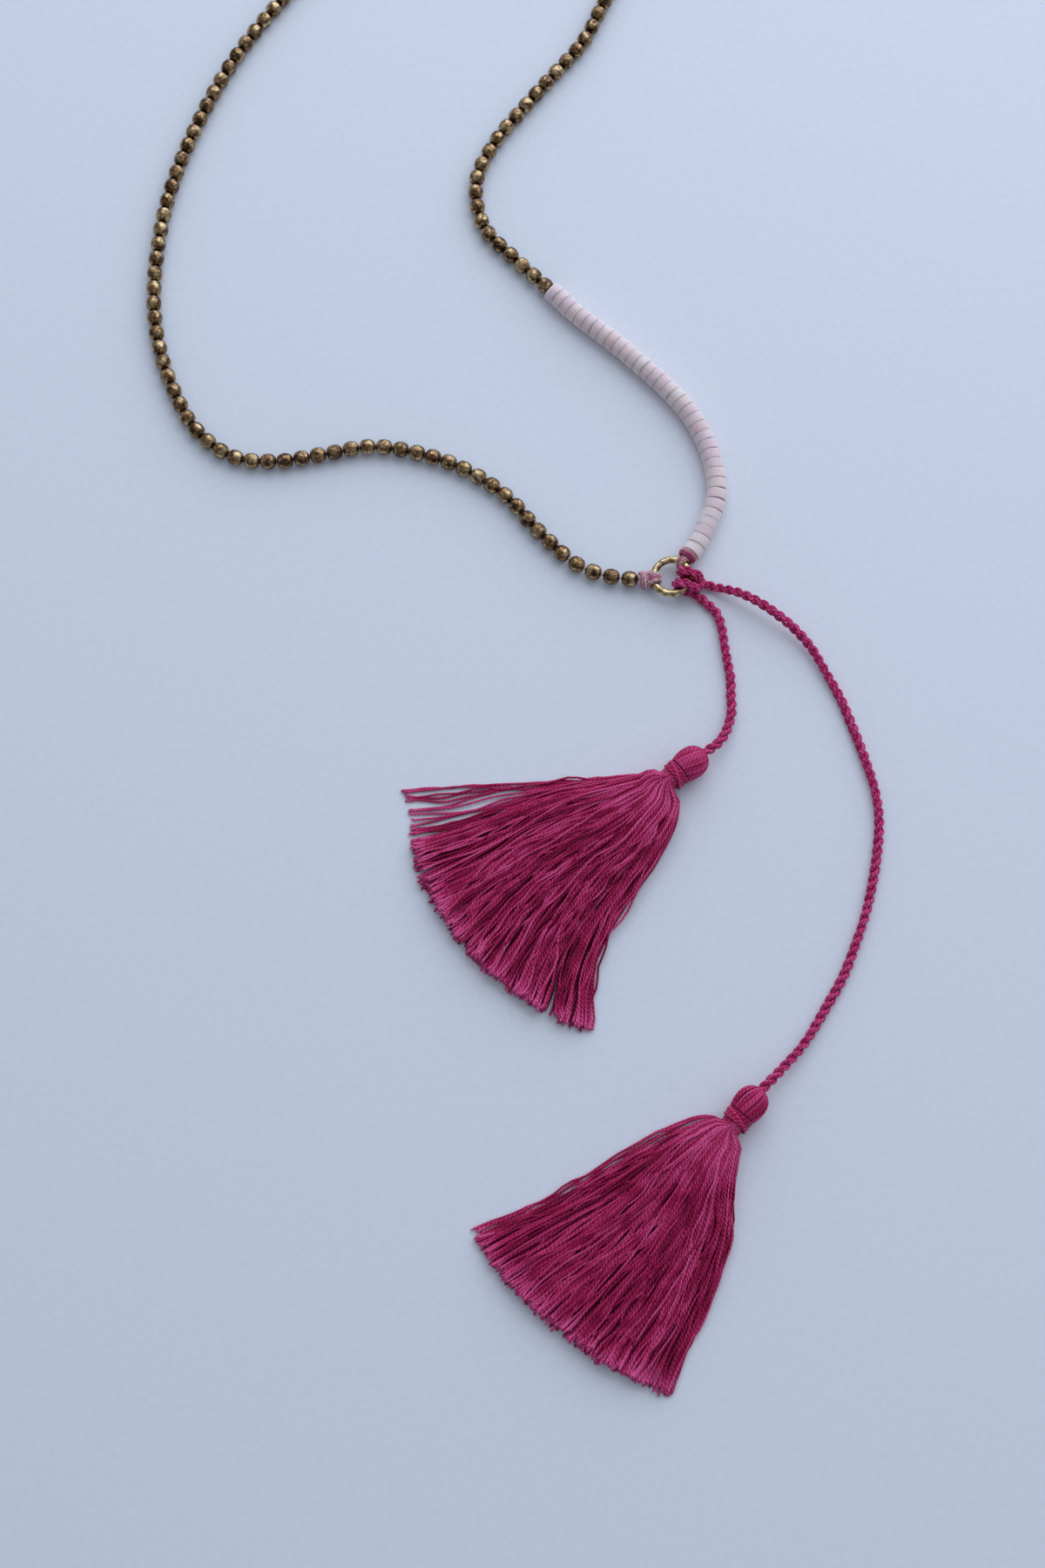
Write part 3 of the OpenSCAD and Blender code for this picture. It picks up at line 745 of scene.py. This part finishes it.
def binding_lines(seed, turns, lean):
    """The wraps that tie a tassel's neck, a little aslant, the last ones across the rest."""
    rng = np.random.default_rng(seed)
    a = np.linspace(0, TAU * turns, int(28 * turns))
    x = NECK_X + 0.2 + (BINDING_W - 0.4) * a / a[-1]
    r = NECK_R + 0.16 + 0.04 * np.sin(3.1 * a / TAU)
    p = np.stack([x + lean * np.sin(a), r * np.cos(a), r * np.sin(a)], axis=1)
    lines = [{"points": p, "shade": 0.5}]
    for k in range(3):
        b = np.linspace(0, TAU * 27 / 26, 28) + rng.random()
        x = NECK_X + BINDING_W * (0.25 + 0.25 * k) + (0.55 + 0.1 * k) * np.sin(b + 0.9 * k)
        r = NECK_R + 0.24 + 0.03 * k
        lines.append({"points": np.stack([x, r * np.cos(b), r * np.sin(b)], axis=1),
                      "shade": 0.45 + 0.1 * k})
    return lines


def set_down(lines, centre, deg):
    """Turns lines from a tassel's own frame to where the tassel lies."""
    ahead, aside = heading(deg), heading(deg + 90)
    for line in lines:
        p = np.asarray(line["points"], float)
        line["points"] = centre + p[:, :1] * ahead + p[:, 1:2] * aside + p[:, 2:] * (0, 0, 1)
    return lines


def core_piece(name, centre, deg, material):
    """The padded core of a tassel's head, which closes the gaps under its yarns."""
    around = 24
    outline = [(-2.55, 0.02), *[(x * 0.97, r - 0.12) for x, r in HEAD_OUTLINE],
               (3.4, 2.0), (3.5, 0.02)]
    bm = bmesh.new()
    rings = []
    for x, r in outline:
        turns = [TAU * k / around for k in range(around)]
        spots = [centre + x * heading(deg) + r * math.cos(a) * heading(deg + 90)
                 + np.array([0, 0, r * math.sin(a)]) for a in turns]
        rings.append([bm.verts.new(p * MM) for p in spots])
    for lower, upper in zip(rings, rings[1:]):
        for k in range(around):
            j = (k + 1) % around
            bm.faces.new((lower[k], lower[j], upper[j], upper[k]))
    bm.faces.new(rings[0])
    bm.faces.new(rings[-1])
    bmesh.ops.recalc_face_normals(bm, faces=bm.faces)
    mesh = bpy.data.meshes.new(name)
    bm.to_mesh(mesh)
    bm.free()
    mesh.shade_smooth()
    mesh.materials.append(material)
    piece = bpy.data.objects.new(name, mesh)
    bpy.context.collection.objects.link(piece)
    return piece


def tassel(label, node, binding_node, centre, deg, seed, shape, swirl, crease):
    """One whole tassel: its skirt and cut ends, its head over a core, and its neck's wraps."""
    yarns, fibres = tassel_lines(seed, **shape)
    over_head = head_lines(seed + 1, HEAD_YARNS, swirl, crease)
    round_neck = binding_lines(seed + 2, turns=4.5, lean=0.3)
    skirt = yarn_piece(label + "_skirt", set_down(yarns, centre, deg),
                       YARN, YARN_R, faces=5)
    ends = yarn_piece(label + "_cut_ends", set_down(fibres, centre, deg),
                      YARN, YARN_R, faces=3)
    head = yarn_piece(label + "_head_yarns", set_down(over_head, centre, deg),
                      YARN, HEAD_YARN_R, faces=6)
    core = core_piece(label + "_head_core", centre, deg, CORE)
    wraps = yarn_piece(label + "_neck_wraps", set_down(round_neck, centre, deg),
                       YARN, HEAD_YARN_R, faces=7)
    for piece in (skirt, ends, head, core):
        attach(piece, "root")
        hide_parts(node)
    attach(wraps, "root")
    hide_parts(binding_node)


# The skirts' edges, each as (millimetres from the binding, degrees from the tassel's axis),
# and their loose yarns, each as (share of the way out to the outermost, height, length).
SHORT_SHAPE = {
    "left": [(2, -89), (5.5, -43), (11, -34), (15.5, -32), (20.5, -31), (27, -28.5), (34, -26),
             (39, -25), (48, -25)],
    "outer": [(2, -89), (5.5, -47), (11, -40), (15.5, -37.5), (20.5, -36.5), (27, -35.5), (40, -35),
              (48, -35)],
    "right": [(3, 76), (6.5, 63), (8.5, 57), (10.5, 51), (14.5, 44), (18, 38.5), (20.5, 35.5),
              (24.5, 32.5), (28, 31), (31, 30.5), (37, 30.5), (39.5, 31.5), (43, 32.5), (47, 34)],
    "lengths": (47.8, 47.8, 47.6),
    "clumps": 28, "in_clump": 11, "under": 100, "strays": 120,
    "loose": [(1.0, 0.2, 48.6), (0.96, 0.5, 48.2), (0.87, 0.8, 47.9), (0.78, 0.3, 47.6),
              (0.7, 0.5, 47.9), (0.58, 0.2, 47.5), (0.5, 0.7, 47.3), (0.38, 0.4, 47.5),
              (0.28, 0.8, 47.2), (0.18, 0.3, 47.6), (0.08, 0.6, 47.2)],
}
LONG_SHAPE = {
    "left": [(2.4, -96), (4.3, -58), (7.2, -44), (11, -36), (15, -31.5), (19, -29), (22.5, -27.5),
             (27.5, -26.3), (33, -25.5), (48, -25)],
    "outer": [(2.4, -100), (4.3, -69), (8, -54.5), (11.5, -45.5), (15, -40), (18.5, -36),
              (22.5, -32.5), (27.5, -29.5), (33, -27.5), (48, -27.5)],
    "right": [(3, 66), (6, 47), (9, 41), (12, 39.5), (16.5, 39), (20.5, 37.5), (23.5, 35.5),
              (26.5, 34), (29.5, 32), (33.5, 30), (37, 28.5), (41, 27), (45.5, 26)],
    "lengths": (47.8, 45.4, 46.0),
    "clumps": 26, "in_clump": 12, "under": 100, "strays": 120,
    "loose": [(1.0, 0.4, 48.3), (0.9, 0.7, 47.9), (0.72, 0.3, 47.6), (0.5, 0.6, 47.8),
              (0.35, 0.3, 47.4), (0.2, 0.6, 47.4), (0.08, 0.5, 47.2)],
}
tassel("short_tassel", "tassel_short", "binding_short", SHORT_HEAD, SHORT_DEG,
       seed=11, shape=SHORT_SHAPE, swirl=0.7, crease=2.0)
tassel("long_tassel", "tassel_long", "binding_long", LONG_HEAD, LONG_DEG,
       seed=23, shape=LONG_SHAPE, swirl=0.35, crease=1.9)

# ---------------------------------------------------------------- knots at the ring

WRAP_T = 0.42
KNOT_SINK = 0.35
BALL_LEN = 1.8
COIL_T = 1.6
THREAD_R = 0.15
THREAD_LAY = 0.14
THREAD_PITCH = 1.05
# How far the middle of the first wraps lies above the wire's clearance.
WRAP_RISE = 0.22


def ring_point(deg, around, r):
    """A point r from the middle of the ring's wire."""
    turn, lift = np.radians(np.asarray(deg, float) - HITCH_DEG), np.radians(around)
    out = np.cos(turn)[..., None] * RING_AHEAD + np.sin(turn)[..., None] * RING_ASIDE
    return RING_CENTRE + RING_R * out + r * (np.cos(lift)[..., None] * out
                                             + np.sin(lift)[..., None] * RING_UP)


def wire_wraps(deg, width, turns, r, shade, slant):
    """Thread wound round the ring's wire, the turns side by side."""
    a = np.linspace(0, 360 * turns, int(40 * turns))
    half = math.degrees(width / RING_R) / 2
    at = deg - half + 2 * half * a / a[-1] + math.degrees(slant / RING_R) * np.sin(np.radians(a))
    return {"points": ring_point(at, a, r),
            "shade": shade + 0.4 * np.sin(np.radians(a * 0.33 + 40))}


def wound(centre, axis, half, radii, turns, shade, lean):
    """Thread wound round an axis, to and fro over a width, the layers growing outwards."""
    axis = unit(axis)
    aside = unit(np.cross(axis, (0, 0, 1)))
    up = np.cross(aside, axis)
    a = np.linspace(0, TAU * turns * len(radii), int(40 * turns * len(radii)))
    layer = a / (TAU * turns)
    phase = layer % 2
    x = half * np.where(phase < 1, 2 * phase - 1, 3 - 2 * phase)
    r = np.interp(layer, np.arange(len(radii)) + 0.5, radii)
    r = r * np.sqrt(np.clip(1 - (x / (half * 3)) ** 2, 0.1, 1))
    x = x + lean * np.sin(a + 0.4)
    p = (centre + x[:, None] * axis + (r * np.cos(a))[:, None] * aside
         + (r * np.sin(a))[:, None] * up)
    return {"points": p, "shade": shade + 0.4 * np.sin(a * 0.29 + 1)}


def knot(name, node, lines, material):
    """A knot of two-ply thread."""
    piece = yarn_piece(name, lines, material, THREAD_R, faces=6,
                       Strands=2, **{"Lay Radius": THREAD_LAY * MM, "Pitch": THREAD_PITCH * MM})
    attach(piece, "root")
    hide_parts(node)


ball_away = WIRE_R + CLEAR + WRAP_T + BALL_LEN / 2 - KNOT_SINK
coil_away = WIRE_R + CLEAR + WRAP_T + COIL_T / 2 - KNOT_SINK
ball_at = ring_point(BALL_DEG, 0, 0) + ball_away * heading(BALL_DEG)
coil_at = ring_point(COIL_DEG, 0, 0) + coil_away * heading(COIL_OUT_DEG)
wrap_r = WIRE_R + CLEAR + WRAP_RISE
knot("ball_knot_thread", "ball_knot", [
    wire_wraps(BALL_DEG, width=2.5, turns=5, r=wrap_r, shade=0.3, slant=0.1),
    wire_wraps(BALL_DEG, width=1.9, turns=4, r=wrap_r + 0.28, shade=0.1, slant=0.25),
    wound(ball_at, heading(BALL_DEG), half=0.74, radii=(0.5, 1.02, 1.5), turns=3,
          shade=0.25, lean=0.2),
], THREAD)
knot("coil_knot_thread", "coil_knot", [
    wire_wraps(COIL_DEG, width=1.3, turns=3, r=wrap_r + 0.05, shade=0.25, slant=0.12),
    wire_wraps(COIL_DEG, width=0.8, turns=2, r=wrap_r + 0.33, shade=0.2, slant=0.1),
    wound(coil_at, heading(COIL_OUT_DEG), half=0.45, radii=(0.6, 1.1, 1.58), turns=2.5,
          shade=0.05, lean=0.14),
], DEEP_THREAD)

# ---------------------------------------------------------------- beads and their thread

BEAD_THREAD_R = 0.25


def islands(node):
    """The middle of each loose solid of a CAD node, in millimetres."""
    mesh = cad[node].data
    p = np.empty(3 * len(mesh.vertices), np.float32)
    mesh.vertices.foreach_get("co", p)
    p = p.reshape(-1, 3).astype(float) / MM
    _, same = np.unique(np.round(p, 3), axis=0, return_inverse=True)
    same = same.ravel()
    parent = np.arange(same.max() + 1)

    def root(i):
        while parent[i] != i:
            parent[i] = parent[parent[i]]
            i = parent[i]
        return i

    for a, b in mesh.edge_keys:
        ra, rb = root(same[a]), root(same[b])
        if ra != rb:
            parent[ra] = rb
    group = np.array([root(i) for i in same])
    return [(p[group == g].min(axis=0) + p[group == g].max(axis=0)) / 2 for g in np.unique(group)]


def strung(points, start):
    """The points in the order in which the string runs through them, from near start."""
    left, line = list(points), [np.asarray(start, float)]
    while left:
        near = min(range(len(left)), key=lambda i: np.linalg.norm(left[i] - line[-1]))
        line.append(left.pop(near))
    return np.array(line[1:])


round_at = strung(islands("gold_beads"), ball_at)
disc_at = strung(islands("disc_beads"), round_at[-1])
string_line = np.vstack([ball_at, round_at, disc_at, coil_at])
string_ways = unit(np.gradient(string_line, axis=0))[1:-1]
thread_line = smooth(string_line, 3)
thread = yarn_piece("bead_thread_yarn", [{"points": thread_line, "shade": 0.6}],
                    THREAD, BEAD_THREAD_R, faces=6)
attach(thread, "root")
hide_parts("bead_thread")


def bead_tree():
    """Threads copies of a bead on points. Each point has its way, its own size and shade."""
    tree, given, out = new_tree("strung_beads", {
        "Bead": ("Object", None),
        "Seed": ("Int", 4),
        "Material": ("Material", None),
    })
    bead = add(tree, "GeometryNodeObjectInfo", {"Object": given["Bead"], "As Instance": True})
    roll = add(tree, "FunctionNodeRandomValue", {"Seed": given["Seed"]}, data_type="FLOAT")
    # A random node has a Max socket for each data type. The float one is the fourth.
    roll.inputs[3].default_value = TAU
    turned = add(tree, "ShaderNodeCombineXYZ", {"Z": roll.outputs[1]})
    way, swell = field(tree, "way", "FLOAT_VECTOR"), field(tree, "swell", "FLOAT_VECTOR")
    facing = add(tree, "FunctionNodeAlignRotationToVector",
                 {"Rotation": turned.outputs[0], "Vector": way}, axis="Z")
    beads = add(tree, "GeometryNodeInstanceOnPoints",
                {"Points": given["Geometry"], "Instance": bead.outputs["Geometry"],
                 "Rotation": facing.outputs[0], "Scale": swell})
    real = add(tree, "GeometryNodeRealizeInstances", {"Geometry": beads.outputs[0]})
    dressed = add(tree, "GeometryNodeSetMaterial",
                  {"Geometry": real.outputs[0], "Material": given["Material"]})
    tree.links.new(dressed.outputs[0], out["Geometry"])
    return tree


def turned_bead(name, outline, around, uneven=0.0):
    """One drilled bead about its own axis, from its outline of (radius, height) in mm."""
    bm = bmesh.new()
    rings = []
    bore = min(r for r, _ in outline)
    for k in range(around):
        a = TAU * k / around
        swell = 1 + uneven * (math.sin(3 * a) + 0.7 * math.sin(5 * a + 1))
        # The bore and what is near it stay round.
        spots = [(r * (swell if r > bore + 0.3 else 1), z) for r, z in outline]
        rings.append([bm.verts.new((r * math.cos(a) * MM, r * math.sin(a) * MM, z * MM))
                      for r, z in spots])
    for k in range(around):
        a, b = rings[k], rings[(k + 1) % around]
        for j in range(len(outline)):
            i = (j + 1) % len(outline)
            bm.faces.new((a[j], b[j], b[i], a[i]))
    bmesh.ops.recalc_face_normals(bm, faces=bm.faces)
    mesh = bpy.data.meshes.new(name)
    bm.to_mesh(mesh)
    bm.free()
    mesh.shade_smooth()
    return bpy.data.objects.new(name + ".source", mesh)


def string_beads(name, node, pattern, places, ways, swell, shade, seed, material):
    """A string of one kind of bead, in place of its CAD node."""
    source = bpy.data.meshes.new(name + ".places")
    source.from_pydata([tuple(p * MM) for p in places], [], [])
    for label, values in (("way", ways), ("swell", swell)):
        source.attributes.new(label, "FLOAT_VECTOR", "POINT").data.foreach_set(
            "vector", np.asarray(values, np.float32).ravel())
    source.attributes.new("shade", "FLOAT", "POINT").data.foreach_set(
        "value", np.asarray(shade, np.float32))
    piece = baked(name, source, strung_beads, {"Bead": pattern, "Seed": seed, "Material": material})
    bpy.data.objects.remove(pattern)
    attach(piece, "root")
    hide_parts(node)


def round_outline():
    """A rolled brass bead: nearly a ball, a little full towards its flat drilled ends."""
    r, half, flat, bore, power = 1.54, 1.62, 0.6, 0.45, 2.25
    end = half * (1 - (flat / r) ** power) ** (1 / power)
    side = []
    for a in (0, 34, 64):
        z = end * math.sin(math.radians(a))
        side.append((r * (1 - (z / half) ** power) ** (1 / power), z))
    side.append((bore, end))
    return [(x, -z) for x, z in side[:0:-1]] + side


def disc_outline():
    """A slice of stone, sawn flat and tumbled, with only its rims' edges softened."""
    r, half, bore = DISC_R + 0.02, 0.91, 0.55
    side = [(r, 0), (r, half - 0.08), (r - 0.004, half - 0.03), (r - 0.02, half - 0.008),
            (r - 0.05, half), (bore, half)]
    return [(x, -z) for x, z in side[:0:-1]] + side


strung_beads = bead_tree()
rng = np.random.default_rng(7)
count = len(round_at)
size = rng.normal(1, 0.008, count)
string_beads("brass_beads", "gold_beads",
             turned_bead("brass_bead", round_outline(), around=12),
             round_at, string_ways[:count], np.stack([size, size, np.ones(count)], axis=1),
             rng.random(count), 3, BRASS)
count = len(disc_at)
size = np.clip(rng.normal(1, 0.012, count), 0.97, 1.02)
string_beads("pink_discs", "disc_beads",
             turned_bead("pink_disc", disc_outline(), around=24, uneven=0.008),
             disc_at, unit(string_ways[-count:] + rng.normal(0, 0.01, (count, 3))),
             np.stack([size, size, np.ones(count)], axis=1), rng.random(count), 4, STONE)

cad["ring"].data.materials.clear()
cad["ring"].data.materials.append(BRIGHT_BRASS)

# ---------------------------------------------------------------- floor and light


def matt_card():
    """Matt card, pale and cool, with a faint tooth."""
    material, tree, skin = new_material("matt_card", Roughness=0.9)
    skin.inputs["Specular IOR Level"].default_value = 0.15
    where = add(tree, "ShaderNodeTexCoord").outputs["Object"]
    tooth = add(tree, "ShaderNodeTexNoise", {"Vector": where, "Scale": 900, "Detail": 4})
    colour = ramp(tree, tooth.outputs[0], (0.3, "#dfe2e6"), (0.7, "#e4e6ea"))
    tree.links.new(colour, skin.inputs["Base Color"])
    bump = add(tree, "ShaderNodeBump", {"Height": tooth.outputs[0], "Strength": 0.1,
                                        "Distance": 0.0002})
    tree.links.new(bump.outputs[0], skin.inputs["Normal"])
    return material


bpy.ops.mesh.primitive_plane_add(size=6, location=(0, 0, 0))
floor = bpy.context.object
floor.name = "floor"
floor.data.materials.append(matt_card())

# Daylight from a wide window beyond the top of the picture, a little to the right.
lamp = bpy.data.lights.new("window", "AREA")
lamp.shape = "RECTANGLE"
lamp.size, lamp.size_y = 1.0, 0.85
lamp.energy = 4.2
lamp.color = linear("#e2ecff")[:3]
window = bpy.data.objects.new("window", lamp)
window.location = (0.21, 0.45, 0.43)
window.rotation_mode = "QUATERNION"
lit_spot = Vector((0, -0.05, 0))
window.rotation_quaternion = (lit_spot - window.location).to_track_quat("-Z", "Y")
bpy.context.collection.objects.link(window)

# The room: dim, and lighter towards the window.
world = bpy.data.worlds.new("room")
world.use_nodes = True
room = world.node_tree
toward = add(room, "ShaderNodeVectorMath",
             {0: add(room, "ShaderNodeTexCoord").outputs["Generated"],
              1: Vector((0.3, 1, 0.5)).normalized()}, operation="DOT_PRODUCT")
level = add(room, "ShaderNodeMapRange",
            {"Value": toward.outputs["Value"], "From Min": -0.6, "From Max": 1.0, "To Min": 0.25,
             "To Max": 0.85})
sky = room.nodes["Background"]
sky.inputs["Color"].default_value = linear("#dbe6fa")
room.links.new(level.outputs[0], sky.inputs["Strength"])
bpy.context.scene.world = world
bpy.context.scene.view_settings.view_transform = "Standard"
